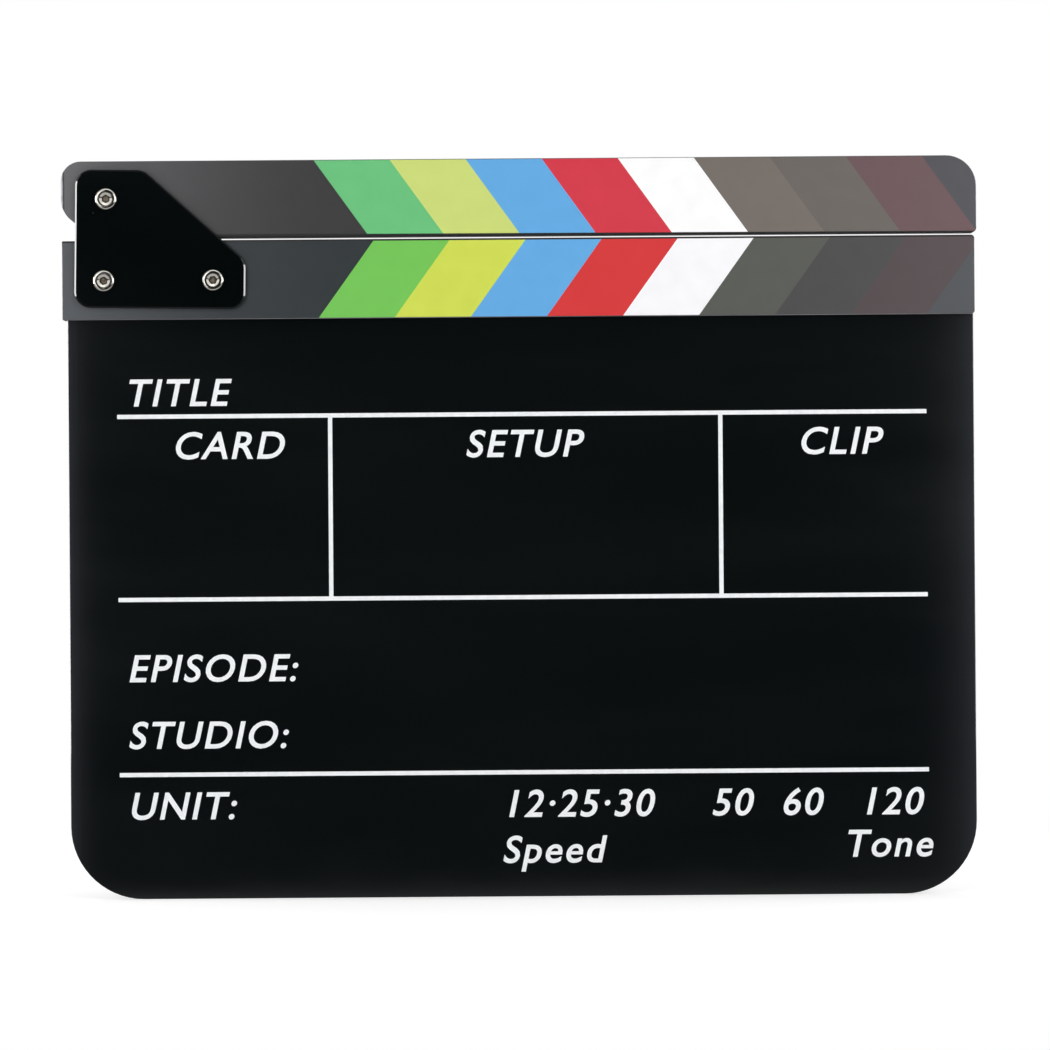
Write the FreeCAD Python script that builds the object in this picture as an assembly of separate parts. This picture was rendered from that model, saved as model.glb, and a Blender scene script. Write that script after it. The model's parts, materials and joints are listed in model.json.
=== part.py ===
import FreeCAD, Part
import math
import os

# A film clapperboard. A black acrylic slate hangs in the groove of a fixed lower stick, and an upper stick
# swings on a bushed pivot screw between two hinge plates.
# X runs to the right along the sticks, Y runs from the front to the back, and Z runs up. The origin is the
# middle of the slate's bottom edge. Lengths are in millimetres and angles in degrees.

# Slate: one sheet whose top strip sits in the lower stick
slate_shown_height = 190.7
slate_insert = 17.5
slate_thickness = 3.0
slate_corner_radius = 24.0
slate_top_radius = 2.0
slate_bevel = 0.2
slate_left_setback = 1.4
slate_right_setback = 0.3

# Both sticks
stick_length = 300.0
stick_gap = 0.8
stick_edge_round = 0.25

# Printed films: each stops short of the gap, and the upper one was stuck on a little askew
film_thickness = 0.2
lower_film_margin = 0.35
upper_film_margin = 0.57
upper_film_tilt = 0.12

# Lower stick, grooved along its underside for the slate
lower_height = 26.0
lower_thickness = 10.0
lower_left_radius = 0.4
lower_right_radius = 1.2
groove_side_clearance = 0.1
groove_end_clearance = 0.5

# Upper stick: its heel is cut away so that it can swing open over the lower stick
upper_height = 25.4
upper_left_overhang = 0.3
upper_right_overhang = 0.7
upper_left_radius = 6.6
upper_right_radius = 10.0
upper_tip_radius = 1.6
upper_end_round = 1.2
heel_run = 11.0
heel_rise = 8.8
heel_radius = 9.0
heel_toe_radius = 3.0
hinge_play = 0.4

# Hinge plates: five-sided, with the upper right corner cut off at a slant, and fitted a little askew
plate_thickness = 3.0
plate_left_inset = 4.5
plate_bottom_inset = 3.55
plate_top_inset = 3.25
plate_width = 56.1
plate_top_width = 22.3
plate_right_height = 15.9
plate_corner_radius = 5.3
plate_slant_radius = 6.0
plate_bevel = 0.5
plate_tilt = 0.9
pivot_plate_margin = 10.4
left_screw_plate_margin = 9.5
right_screw_plate_margin = 10.75
plate_screw_drop = 0.35

# Hinge screws: M4, low socket heads
screw_radius = 2.0
screw_hole_clearance = 0.15
screw_head_radius = 3.5
screw_head_height = 2.8
screw_head_round = 0.7
socket_across_flats = 2.5
socket_depth = 1.6
socket_mouth_radius = 2.1
socket_mouth_depth = 0.6
screw_tip_chamfer = 0.4
thread_pitch = 0.7
thread_depth = 0.3
thread_turns_shown = 2
pivot_socket_turn = 0.0
left_socket_turn = 12.0
right_socket_turn = 24.0

# Washers and nuts behind the rear plate
washer_radius = 4.5
washer_thickness = 0.8
nut_across_flats = 7.0
nut_height = 3.2
nut_chamfer_angle = 30.0
nut_thread_clearance = 0.05
lock_nut_height = 5.0
lock_collar_step = 0.3
lock_collar_wall = 0.5
lock_collar_round = 0.4
lock_lip_height = 0.4
lock_lip_overlap = 0.3
lock_insert_clearance = 0.05

# Pivot bush and the nylon washers on it
bush_radius = 3.5
bush_running_clearance = 0.05
pivot_washer_radius = 7.0
pivot_washer_gap = 0.1
pivot_washer_bore_clearance = 0.1

# Countersunk cross-recess screws that hold the slate in the groove
slate_screw_count = 4
slate_screw_end_margin = 30.0
slate_screw_radius = 1.5
slate_screw_head_radius = 2.75
slate_screw_hole_clearance = 0.1
slate_screw_point = 1.0
slate_screw_bite_share = 0.6
cross_length = 3.2
cross_width = 0.7
cross_depth = 1.0

# How far cutting tools run past the faces that they cut, and how near to a plane counts as in it
cut_overrun = 1.0
plane_tolerance = 0.01

# Places along X
slate_width = stick_length - slate_left_setback - slate_right_setback
stick_left = -slate_width / 2 - slate_left_setback
stick_right = stick_left + stick_length
upper_left = stick_left - upper_left_overhang
upper_right = stick_right + upper_right_overhang
upper_length = upper_right - upper_left
plate_left = stick_left + plate_left_inset
plate_right = plate_left + plate_width
pivot_x = plate_left + pivot_plate_margin
left_screw_x = plate_left + left_screw_plate_margin
right_screw_x = plate_right - right_screw_plate_margin

# Places up Z
lower_bottom = slate_shown_height
lower_top = lower_bottom + lower_height
lower_middle = (lower_bottom + lower_top) / 2
plate_screw_z = lower_middle - plate_screw_drop
upper_bottom = lower_top + stick_gap
upper_top = upper_bottom + upper_height
pivot_z = (upper_bottom + upper_top) / 2
slate_top = slate_shown_height + slate_insert
groove_top = slate_top + groove_end_clearance
plate_bottom = lower_bottom + plate_bottom_inset
plate_top = upper_top - plate_top_inset
lower_film_top = lower_top - stick_edge_round - lower_film_margin
upper_film_bottom = upper_bottom + stick_edge_round + upper_film_margin

# Places through Y
slate_half = slate_thickness / 2
groove_half = slate_half + groove_side_clearance
lower_half = lower_thickness / 2
upper_half = lower_half - hinge_play
front_plate_back = -lower_half - film_thickness
front_plate_front = front_plate_back - plate_thickness
rear_plate_front = lower_half
rear_plate_back = rear_plate_front + plate_thickness
washer_back = rear_plate_back + washer_thickness
nut_back = washer_back + nut_height
lock_nut_back = washer_back + lock_nut_height

# Sizes that follow from the ones above
screw_hole_radius = screw_radius + screw_hole_clearance
nut_bore_radius = screw_radius + nut_thread_clearance
nut_corner_radius = nut_across_flats / math.sqrt(3)
lock_collar_radius = nut_across_flats / 2 - lock_collar_step
lock_pocket_radius = lock_collar_radius - lock_collar_wall
lock_lip_radius = lock_pocket_radius - lock_lip_overlap
slate_screw_hole_radius = slate_screw_radius + slate_screw_hole_clearance
slate_screw_head_depth = slate_screw_head_radius - slate_screw_radius
slate_screw_tip = -groove_half - slate_screw_bite_share * (lower_half - groove_half)

along_y = FreeCAD.Vector(0, 1, 0)
axis_origin = FreeCAD.Vector(0, 0, 0)


def point(x, z):
    """A point of an outline, drawn in the plane Y = 0."""
    return FreeCAD.Vector(x, 0, z)


def rounded_face(corners):
    """A flat face from (point, radius) corners, each rounded by an arc."""
    arcs = []
    for index, (corner, radius) in enumerate(corners):
        to_last = (corners[index - 1][0] - corner).normalize()
        to_next = (corners[(index + 1) % len(corners)][0] - corner).normalize()
        inward = (to_last + to_next).normalize()
        half_angle = to_last.getAngle(to_next) / 2
        tangent = radius / math.tan(half_angle)
        middle = corner + inward * (radius / math.sin(half_angle) - radius)
        arcs.append((corner + to_last * tangent, middle, corner + to_next * tangent))
    edges = []
    for index, arc in enumerate(arcs):
        edges.append(Part.Arc(*arc).toShape())
        edges.append(Part.LineSegment(arc[-1], arcs[(index + 1) % len(arcs)][0]).toShape())
    return Part.Face(Part.Wire(edges))


def slab(corners, front, back):
    """A plate of rounded outline between two planes of Y."""
    solid = rounded_face(corners).extrude(along_y * (back - front))
    solid.translate(along_y * front)
    return solid


def turned(profile, x, z):
    """A solid of revolution about an axis along Y through (x, z), from (radius, y) points."""
    points = [FreeCAD.Vector(radius, y, 0) for radius, y in profile]
    solid = Part.Face(Part.makePolygon(points + points[:1])).revolve(axis_origin, along_y, 360)
    solid.translate(point(x, z))
    return solid


def ring(inner_radius, outer_radius, x, z, front, back):
    """A round sleeve or washer with a plain bore."""
    profile = [(inner_radius, front), (outer_radius, front), (outer_radius, back), (inner_radius, back)]
    return turned(profile, x, z)


def rod(radius, x, z, front, back):
    """A plain round bar along Y, for drilling holes."""
    return Part.makeCylinder(radius, back - front, FreeCAD.Vector(x, front, z), along_y)


def hexagon(across_flats, x, z, front, back, turn):
    """A six-sided bar along Y, turned about its axis."""
    corners = []
    for side in range(6):
        angle = math.radians(turn + side * 360 / 6)
        reach = across_flats / math.sqrt(3)
        corners.append(FreeCAD.Vector(x + reach * math.sin(angle), front, z + reach * math.cos(angle)))
    return Part.Face(Part.makePolygon(corners + corners[:1])).extrude(along_y * (back - front))


def lies_in_plane(piece, y):
    """Whether an edge or a face lies in one plane of Y."""
    box = piece.BoundBox
    return max(abs(box.YMin - y), abs(box.YMax - y)) < plane_tolerance


def edges_in_plane(solid, y):
    """The edges of a solid that lie in one plane of Y."""
    return [edge for edge in solid.Edges if lies_in_plane(edge, y)]


def face_in_plane(solid, y):
    """The largest flat face of a solid in one plane of Y."""
    return max((face for face in solid.Faces if lies_in_plane(face, y)), key=lambda face: face.Area)


def drilled(solid, holes):
    """A solid with (x, z, radius) holes drilled through it along Y."""
    box = solid.BoundBox
    for x, z, radius in holes:
        solid = solid.cut(rod(radius, x, z, box.YMin - cut_overrun, box.YMax + cut_overrun))
    return solid


def slate_screw_places():
    """The X of each slate screw, evenly spaced between the hinge plate and the stick's right end."""
    first = plate_right + slate_screw_end_margin
    last = stick_right - slate_screw_end_margin
    step = (last - first) / (slate_screw_count - 1)
    return [first + step * index for index in range(slate_screw_count)]


def plate_screw_holes():
    """The two holes of the lower stick's hinge screws."""
    return [(x, plate_screw_z, screw_hole_radius) for x in (left_screw_x, right_screw_x)]


def slate_board():
    corners = [
        (point(-slate_width / 2, 0), slate_corner_radius),
        (point(slate_width / 2, 0), slate_corner_radius),
        (point(slate_width / 2, slate_top), slate_top_radius),
        (point(-slate_width / 2, slate_top), slate_top_radius),
    ]
    board = slab(corners, -slate_half, slate_half)
    outline = edges_in_plane(board, -slate_half) + edges_in_plane(board, slate_half)
    board = board.makeChamfer(slate_bevel, outline)
    holes = plate_screw_holes()
    holes += [(x, lower_middle, slate_screw_hole_radius) for x in slate_screw_places()]
    return drilled(board, holes)


def lower_stick():
    corners = [
        (point(stick_left, lower_bottom), lower_left_radius),
        (point(stick_right, lower_bottom), lower_right_radius),
        (point(stick_right, lower_top), lower_right_radius),
        (point(stick_left, lower_top), lower_left_radius),
    ]
    stick = slab(corners, -lower_half, lower_half)
    outline = edges_in_plane(stick, -lower_half) + edges_in_plane(stick, lower_half)
    stick = stick.makeFillet(stick_edge_round, outline)
    groove_corner = FreeCAD.Vector(stick_left - cut_overrun, -groove_half, lower_bottom - cut_overrun)
    groove = Part.makeBox(stick_length + 2 * cut_overrun, 2 * groove_half,
                          groove_top - lower_bottom + cut_overrun, groove_corner)
    stick = drilled(stick.cut(groove), plate_screw_holes())
    for x in slate_screw_places():
        hole = [
            (0, lower_half),
            (slate_screw_head_radius, lower_half),
            (slate_screw_hole_radius, lower_half - slate_screw_head_depth + slate_screw_hole_clearance),
            (slate_screw_hole_radius, slate_screw_tip - slate_screw_hole_clearance),
            (0, slate_screw_tip - slate_screw_hole_clearance),
        ]
        stick = stick.cut(turned(hole, x, lower_middle))
    return stick


def rolled_end():
    """A bar as thick as the upper stick, with the front and back edges of its left end rolled over."""
    corner = FreeCAD.Vector(upper_left, -upper_half, upper_bottom - cut_overrun)
    bar = Part.makeBox(upper_length + cut_overrun, 2 * upper_half, upper_height + 2 * cut_overrun, corner)
    left_edges = [edge for edge in bar.Edges if edge.BoundBox.XMax < upper_left + plane_tolerance]
    upright_edges = [edge for edge in left_edges if edge.BoundBox.ZLength > upper_height]
    return bar.makeFillet(upper_end_round, upright_edges)


def upper_stick():
    corners = [
        (point(upper_left, upper_bottom + heel_rise), heel_radius),
        (point(upper_left + heel_run, upper_bottom), heel_toe_radius),
        (point(upper_right, upper_bottom), upper_tip_radius),
        (point(upper_right, upper_top), upper_right_radius),
        (point(upper_left, upper_top), upper_left_radius),
    ]
    stick = slab(corners, -upper_half, upper_half)
    outline = edges_in_plane(stick, -upper_half) + edges_in_plane(stick, upper_half)
    stick = stick.makeFillet(stick_edge_round, outline).common(rolled_end())
    return drilled(stick, [(pivot_x, pivot_z, bush_radius + bush_running_clearance)])


def print_film(stick, stick_front, bottom, top, tilt):
    """Printed film on the flat of a stick's front face, cut along a band that may be a little askew."""
    film = face_in_plane(stick, stick_front).extrude(along_y * -film_thickness)
    corner = FreeCAD.Vector(upper_left - cut_overrun, stick_front - film_thickness - cut_overrun, bottom)
    band_length = upper_length + 2 * cut_overrun
    band = Part.makeBox(band_length, film_thickness + 2 * cut_overrun, top - bottom, corner)
    band.rotate(point(0, bottom), along_y, tilt)
    return film.common(band)


def hinge_plate(front, back):
    corners = [
        (point(plate_left, plate_bottom), plate_corner_radius),
        (point(plate_right, plate_bottom), plate_corner_radius),
        (point(plate_right, plate_bottom + plate_right_height), plate_slant_radius),
        (point(plate_left + plate_top_width, plate_top), plate_slant_radius),
        (point(plate_left, plate_top), plate_corner_radius),
    ]
    plate = slab(corners, front, back)
    middle = point((plate_left + plate_right) / 2, (plate_bottom + plate_top) / 2)
    plate.rotate(middle, along_y, plate_tilt)
    plate = plate.makeChamfer(plate_bevel, edges_in_plane(plate, front) + edges_in_plane(plate, back))
    return drilled(plate, plate_screw_holes() + [(pivot_x, pivot_z, screw_hole_radius)])


def hinge_screw(x, z, nut_end, turn):
    """A socket-head screw from the front plate to the nut, its thread showing past the nut."""
    head_front = front_plate_front - screw_head_height
    core_radius = screw_radius - thread_depth
    profile = [
        (0, head_front),
        (screw_head_radius, head_front),
        (screw_head_radius, front_plate_front),
        (screw_radius, front_plate_front),
        (screw_radius, nut_end),
    ]
    for index in range(thread_turns_shown):
        ridge = nut_end + index * thread_pitch
        profile.append((core_radius, ridge + thread_pitch / 2))
        profile.append((screw_radius, ridge + thread_pitch))
    tip = nut_end + thread_turns_shown * thread_pitch + screw_tip_chamfer
    profile.append((screw_radius - screw_tip_chamfer, tip))
    profile.append((0, tip))
    screw = turned(profile, x, z)
    screw = screw.makeFillet(screw_head_round, edges_in_plane(screw, head_front))
    socket = hexagon(socket_across_flats, x, z, head_front - cut_overrun, head_front + socket_depth, turn)
    mouth = turned([(0, head_front), (socket_mouth_radius, head_front),
                    (socket_across_flats / 2, head_front + socket_mouth_depth),
                    (0, head_front + socket_mouth_depth)], x, z)
    return screw.cut(socket).cut(mouth)


def hex_nut(x, z, front, back):
    """A six-sided nut with both ends chamfered and a plain bore."""
    flat_radius = nut_across_flats / 2
    chamfer = (nut_corner_radius - flat_radius) * math.tan(math.radians(nut_chamfer_angle))
    profile = [
        (nut_bore_radius, front),
        (flat_radius, front),
        (nut_corner_radius, front + chamfer),
        (nut_corner_radius, back - chamfer),
        (flat_radius, back),
        (nut_bore_radius, back),
    ]
    return turned(profile, x, z).common(hexagon(nut_across_flats, x, z, front, back, 0))


def lock_nut(x, z, front):
    """A nut with a round collar that is rolled in over a nylon ring."""
    collar_front = front + nut_height
    back = front + lock_nut_height
    profile = [
        (lock_pocket_radius, collar_front),
        (lock_collar_radius, collar_front),
        (lock_collar_radius, back - lock_collar_round),
        (lock_collar_radius - lock_collar_round, back),
        (lock_lip_radius, back),
        (lock_lip_radius, back - lock_lip_height),
        (lock_pocket_radius, back - lock_lip_height),
    ]
    return hex_nut(x, z, front, collar_front).fuse(turned(profile, x, z)).removeSplitter()


def lock_insert(x, z, front):
    """The nylon ring that grips the thread inside the lock nut's collar."""
    ring_back = front + lock_nut_height - lock_lip_height
    outer_radius = lock_pocket_radius - lock_insert_clearance
    return ring(nut_bore_radius, outer_radius, x, z, front + nut_height, ring_back)


def slate_screw(x):
    """A countersunk screw, flush with the lower stick's back, that passes through the slate."""
    profile = [
        (0, lower_half),
        (slate_screw_head_radius, lower_half),
        (slate_screw_radius, lower_half - slate_screw_head_depth),
        (slate_screw_radius, slate_screw_tip + slate_screw_point),
        (0, slate_screw_tip),
    ]
    screw = turned(profile, x, lower_middle)
    for length, width in ((cross_length, cross_width), (cross_width, cross_length)):
        corner = FreeCAD.Vector(x - length / 2, lower_half - cross_depth, lower_middle - width / 2)
        screw = screw.cut(Part.makeBox(length, cross_depth + cut_overrun, width, corner))
    return screw


def steel_washer(x, z):
    """A plain washer between the rear plate and a nut."""
    return ring(screw_hole_radius, washer_radius, x, z, rear_plate_back, washer_back)


def pivot_bush():
    """The sleeve between the two plates that the upper stick turns on."""
    return ring(screw_hole_radius, bush_radius, pivot_x, pivot_z, front_plate_back, rear_plate_front)


def pivot_washer(front, back):
    """A thin nylon washer round the bush, between a plate and the upper stick."""
    bore_radius = bush_radius + pivot_washer_bore_clearance
    return ring(bore_radius, pivot_washer_radius, pivot_x, pivot_z, front, back)


nodes = {
    "slate_board": slate_board(),
    "lower_stick": lower_stick(),
    "upper_stick": upper_stick(),
    "front_hinge_plate": hinge_plate(front_plate_front, front_plate_back),
    "rear_hinge_plate": hinge_plate(rear_plate_front, rear_plate_back),
    "pivot_screw": hinge_screw(pivot_x, pivot_z, lock_nut_back, pivot_socket_turn),
    "pivot_bush": pivot_bush(),
    "front_pivot_washer": pivot_washer(front_plate_back, front_plate_back + hinge_play - pivot_washer_gap),
    "rear_pivot_washer": pivot_washer(rear_plate_front - hinge_play + pivot_washer_gap, rear_plate_front),
    "pivot_steel_washer": steel_washer(pivot_x, pivot_z),
    "pivot_lock_nut": lock_nut(pivot_x, pivot_z, washer_back),
    "pivot_lock_insert": lock_insert(pivot_x, pivot_z, washer_back),
}
nodes["lower_stick_print"] = print_film(nodes["lower_stick"], -lower_half, lower_bottom, lower_film_top, 0)
nodes["upper_stick_print"] = print_film(nodes["upper_stick"], -upper_half, upper_film_bottom, upper_top,
                                        upper_film_tilt)
plate_screws = (("left", left_screw_x, left_socket_turn), ("right", right_screw_x, right_socket_turn))
for side, x, turn in plate_screws:
    nodes[side + "_plate_screw"] = hinge_screw(x, plate_screw_z, nut_back, turn)
    nodes[side + "_plate_washer"] = steel_washer(x, plate_screw_z)
    nodes[side + "_plate_nut"] = hex_nut(x, plate_screw_z, washer_back, nut_back)
for number, x in enumerate(slate_screw_places(), start=1):
    nodes["slate_screw_" + str(number)] = slate_screw(x)

os.makedirs("parts", exist_ok=True)
for name, shape in nodes.items():
    shape.exportStep(os.path.join("parts", name + ".step"))
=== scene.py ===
# %% [markdown]
# A film clapperboard, dressed in Blender around its packed construction model. The construction model
# already holds every solid piece at its real size: the slate, two sticks, two hinge plates and the
# fasteners. This lesson gives each surface its finish, cuts the printed film into its stripes, prints the
# ruled form on the slate, and sets up a plain white studio with one camera.

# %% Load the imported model
import json
import math

import bmesh
import bpy
from mathutils import Matrix, Vector


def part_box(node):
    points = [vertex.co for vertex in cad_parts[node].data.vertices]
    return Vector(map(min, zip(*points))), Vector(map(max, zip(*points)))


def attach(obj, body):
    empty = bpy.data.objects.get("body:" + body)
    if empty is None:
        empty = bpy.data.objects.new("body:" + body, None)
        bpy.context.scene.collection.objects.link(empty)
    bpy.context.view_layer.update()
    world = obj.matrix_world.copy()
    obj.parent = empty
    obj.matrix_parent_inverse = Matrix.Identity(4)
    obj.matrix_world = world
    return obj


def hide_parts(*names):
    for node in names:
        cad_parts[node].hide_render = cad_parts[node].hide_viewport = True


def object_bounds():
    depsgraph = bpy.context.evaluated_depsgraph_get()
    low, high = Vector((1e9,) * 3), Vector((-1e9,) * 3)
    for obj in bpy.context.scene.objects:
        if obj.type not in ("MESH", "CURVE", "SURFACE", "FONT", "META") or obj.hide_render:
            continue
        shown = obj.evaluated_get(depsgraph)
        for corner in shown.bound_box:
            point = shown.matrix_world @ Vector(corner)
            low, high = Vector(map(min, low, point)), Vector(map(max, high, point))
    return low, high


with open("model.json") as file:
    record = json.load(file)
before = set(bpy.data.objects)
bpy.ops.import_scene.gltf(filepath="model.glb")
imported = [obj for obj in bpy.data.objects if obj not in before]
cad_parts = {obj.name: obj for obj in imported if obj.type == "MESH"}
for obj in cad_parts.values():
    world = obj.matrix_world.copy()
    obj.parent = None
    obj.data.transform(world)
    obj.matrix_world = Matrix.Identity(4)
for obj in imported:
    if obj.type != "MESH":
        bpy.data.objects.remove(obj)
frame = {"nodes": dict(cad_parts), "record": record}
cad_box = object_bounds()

# %% [markdown]
# Blender works in metres and in linear colour, but a maker thinks in millimetres and in the hex colours of
# a swatch. A few small helpers bridge that: one turns a swatch to linear light, one adds a shader node with
# its settings and its links, so that every material below reads as a list, and one gives a pattern's scale.
# Some sockets of a node share one name, such as the two numbers of a sum, so they go by their place in the
# node. The colour sockets of a Mix node are used most, and their places have names here.

# %% Helpers for units, colours and shader nodes
MM = 0.001
FACTOR, UNDER, OVER = 0, 6, 7
BLEND = 2

# Noise stays near one half. A Map Range node with one of these stretches its middle part to 0 and 1.
NARROW_NOISE = {"From Min": 0.35, "From Max": 0.65}
BROAD_NOISE = {"From Min": 0.3, "From Max": 0.7}


def linear(swatch):
    """Turns an sRGB hex swatch such as #71c47a to linear red, green, blue and alpha."""
    channels = [int(swatch[start:start + 2], 16) / 255 for start in (1, 3, 5)]
    lights = [c / 12.92 if c <= 0.04045 else ((c + 0.055) / 1.055) ** 2.4 for c in channels]
    return (*lights, 1.0)


def add_node(tree, kind, inputs=None, links=None, **settings):
    """Adds one shader node, with its options, its fixed input values and its linked inputs."""
    node = tree.nodes.new("ShaderNode" + kind)
    for name, value in settings.items():
        setattr(node, name, value)
    for name, value in (inputs or {}).items():
        node.inputs[name].default_value = value
    for name, socket in (links or {}).items():
        tree.links.new(socket, node.inputs[name])
    return node


def new_material(name):
    """An empty node material, with its tree, its main shader and its object coordinates in metres."""
    material = bpy.data.materials.new(name)
    material.use_nodes = True
    tree = material.node_tree
    shader = tree.nodes["Principled BSDF"]
    place = add_node(tree, "TexCoord").outputs["Object"]
    return material, tree, shader, place


def per_metre(size_mm):
    """The texture scale at which one feature of a pattern is about this many millimetres across."""
    return 1 / (size_mm * MM)


WHITE = linear("#ffffff")
BLACK = linear("#000000")
print("white swatch", [round(channel, 3) for channel in WHITE])

# %% [markdown]
# Cast acrylic is a hard clear plastic that is dyed through and poured between glass sheets, so its face is
# as flat and bright as glass. In black it shows almost nothing of its own: the eye reads it by what it
# mirrors, by the faint haze that a dry cloth leaves and by a rare speck of dust. So the colour stays deep
# and even, broad wiping streaks break the gloss a little, and scratches run mostly one way, as a wiping
# hand goes.

# %% Cast acrylic, for the slate and the hinge plates
ACRYLIC_IOR = 1.49
WIPE_STREAK_MM = 38.0
WIPE_ANGLE = math.radians(24)
WIPE_STRETCH = 0.22
WIPE_GLOSS_RANGE = {"From Min": 0.35, "From Max": 0.75}
WIPE_HAZE_RANGE = {"From Min": 0.4, "From Max": 0.8}
# Real scratches are as thin as a hair. Thin ones don't show in the render, so these are drawn coarser.
SCRATCH_MM = 1.2
SCRATCH_ANGLE = math.radians(-11)
SCRATCH_STRETCH = 0.012
SCRATCH_DEPTH = 0.01 * MM
DUST_SPACING_MM = 17.0
DUST_SHARE = 0.012
DUST_SWATCH = "#4a4b4c"


def cast_acrylic(name, swatch, haze_swatch, smooth, dull):
    """Black gloss acrylic. Gives the material and the mix that makes its colour, for more to be added."""
    material, tree, shader, place = new_material(name)
    wiped = add_node(tree, "Mapping", {"Rotation": (0, WIPE_ANGLE, 0), "Scale": (WIPE_STRETCH, 1.0, 1.0)},
                     {"Vector": place})
    streaks = add_node(tree, "TexNoise",
                       {"Scale": per_metre(WIPE_STREAK_MM), "Detail": 5.0, "Roughness": 0.6},
                       {"Vector": wiped.outputs["Vector"]})
    along = add_node(tree, "Mapping",
                     {"Rotation": (0, SCRATCH_ANGLE, 0), "Scale": (SCRATCH_STRETCH, 1.0, 1.0)},
                     {"Vector": place})
    scratches = add_node(tree, "TexNoise", {"Scale": per_metre(SCRATCH_MM), "Detail": 2.0},
                         {"Vector": along.outputs["Vector"]})
    gloss = add_node(tree, "MapRange", {**WIPE_GLOSS_RANGE, "To Min": smooth, "To Max": dull},
                     {"Value": streaks.outputs["Fac"]})
    haze = add_node(tree, "MapRange", WIPE_HAZE_RANGE, {"Value": streaks.outputs["Fac"]})
    wiped_colour = add_node(tree, "Mix", {UNDER: linear(swatch), OVER: linear(haze_swatch)},
                            {FACTOR: haze.outputs["Result"]}, data_type="RGBA")
    specks = add_node(tree, "TexVoronoi", {"Scale": per_metre(DUST_SPACING_MM)}, {"Vector": place})
    dust = add_node(tree, "MapRange", {"From Min": DUST_SHARE, "From Max": 0.5 * DUST_SHARE},
                    {"Value": specks.outputs["Distance"]})
    colour = add_node(tree, "Mix", {OVER: linear(DUST_SWATCH)},
                      {FACTOR: dust.outputs["Result"], UNDER: wiped_colour.outputs[BLEND]},
                      data_type="RGBA")
    marks = add_node(tree, "Bump", {"Strength": 0.05, "Distance": SCRATCH_DEPTH},
                     {"Height": scratches.outputs["Fac"]})
    shader.inputs["IOR"].default_value = ACRYLIC_IOR
    tree.links.new(colour.outputs[BLEND], shader.inputs["Base Color"])
    tree.links.new(gloss.outputs["Result"], shader.inputs["Roughness"])
    tree.links.new(marks.outputs["Normal"], shader.inputs["Normal"])
    return material, colour


slate_acrylic, slate_colour = cast_acrylic("cast_acrylic_slate", "#0b0f10", "#0f1314",
                                           smooth=0.07, dull=0.13)
plate_acrylic = cast_acrylic("cast_acrylic_plate", "#040809", "#080c0d", smooth=0.05, dull=0.09)[0]
print("acrylics", slate_acrylic.name, plate_acrylic.name)

# %% [markdown]
# The slate's left and right margins take a thin grey lightening that thins out quickly toward the
# middle. It is painted sheen: it stands in for the side lamps' reflection at the margins. It could be
# a stain of noise, but a sheen that follows the edge reads better: its strength is a high power of the
# distance from the middle line. The right margin has the wider sheen, so its power is lower.

# %% Painted sheen at the slate's margins
# The margins' lighter grey is painted sheen, standing in for the side lamps' reflection.
MARGIN_SHEEN_START = 60.0 * MM
MARGIN_SHEEN_POWERS = {-1: 25.0, 1: 14.0}
MARGIN_SHEEN_SWATCH = "#2b2c30"

slate_half_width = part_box("slate_board")[1].x
slate_tree = slate_acrylic.node_tree
slate_shader = slate_tree.nodes["Principled BSDF"]
slate_place = add_node(slate_tree, "TexCoord").outputs["Object"]
slate_across = add_node(slate_tree, "SeparateXYZ", None, {"Vector": slate_place})
sheened_colour = slate_colour
for side, power in MARGIN_SHEEN_POWERS.items():
    margin = add_node(slate_tree, "MapRange",
                      {"From Min": side * MARGIN_SHEEN_START, "From Max": side * slate_half_width},
                      {"Value": slate_across.outputs["X"]})
    margin_sheen = add_node(slate_tree, "Math", {1: power}, {0: margin.outputs["Result"]}, operation="POWER")
    sheened_colour = add_node(slate_tree, "Mix", {OVER: linear(MARGIN_SHEEN_SWATCH)},
                           {FACTOR: margin_sheen.outputs["Value"], UNDER: sheened_colour.outputs[BLEND]},
                           data_type="RGBA")
slate_tree.links.new(sheened_colour.outputs[BLEND], slate_shader.inputs["Base Color"])
print("slate half width", round(slate_half_width / MM, 1), "mm")

# %% [markdown]
# The sticks are beech laths, sanded, sealed and sprayed satin black. Paint hides the colour of the wood but
# not its grain, which still shows as shallow lines along the stick. Rounded edges are paler: partly where
# the paint wears thin, and partly a painted highlight of the light those edges catch. An edge is found
# from the surface's own direction: a rounded edge is the only place that faces partly to the front or back
# and partly to the side. The two clapping edges get painted shade instead, deep black with no pale edge,
# where each stick lies in the other's shadow.

# %% Satin paint on beech, for the sticks
# Beech has a grain line about every millimetre. Lines that close don't show in the render, so these are
# drawn coarser.
GRAIN_MM = 2.6
GRAIN_STRETCH = 0.03
GRAIN_DEPTH = 0.15 * MM
PAINT_GRIT_MM = 0.35
PAINT_GRIT_DEPTH = 0.02 * MM
SATIN_ROUGHNESS = {"To Min": 0.34, "To Max": 0.46}
# Pale edges: partly worn paint, partly a painted highlight of the light the rounded edges catch.
EDGE_WEAR_AND_HIGHLIGHT_RANGE = {"From Min": 0.015, "From Max": 0.14}
# Within this reach of the gap the paint gets painted shade: deep black with no pale edge.
CLAP_SHADE_REACH = 3.0 * MM
clap_height = (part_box("lower_stick")[1].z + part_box("upper_stick")[0].z) / 2


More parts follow.
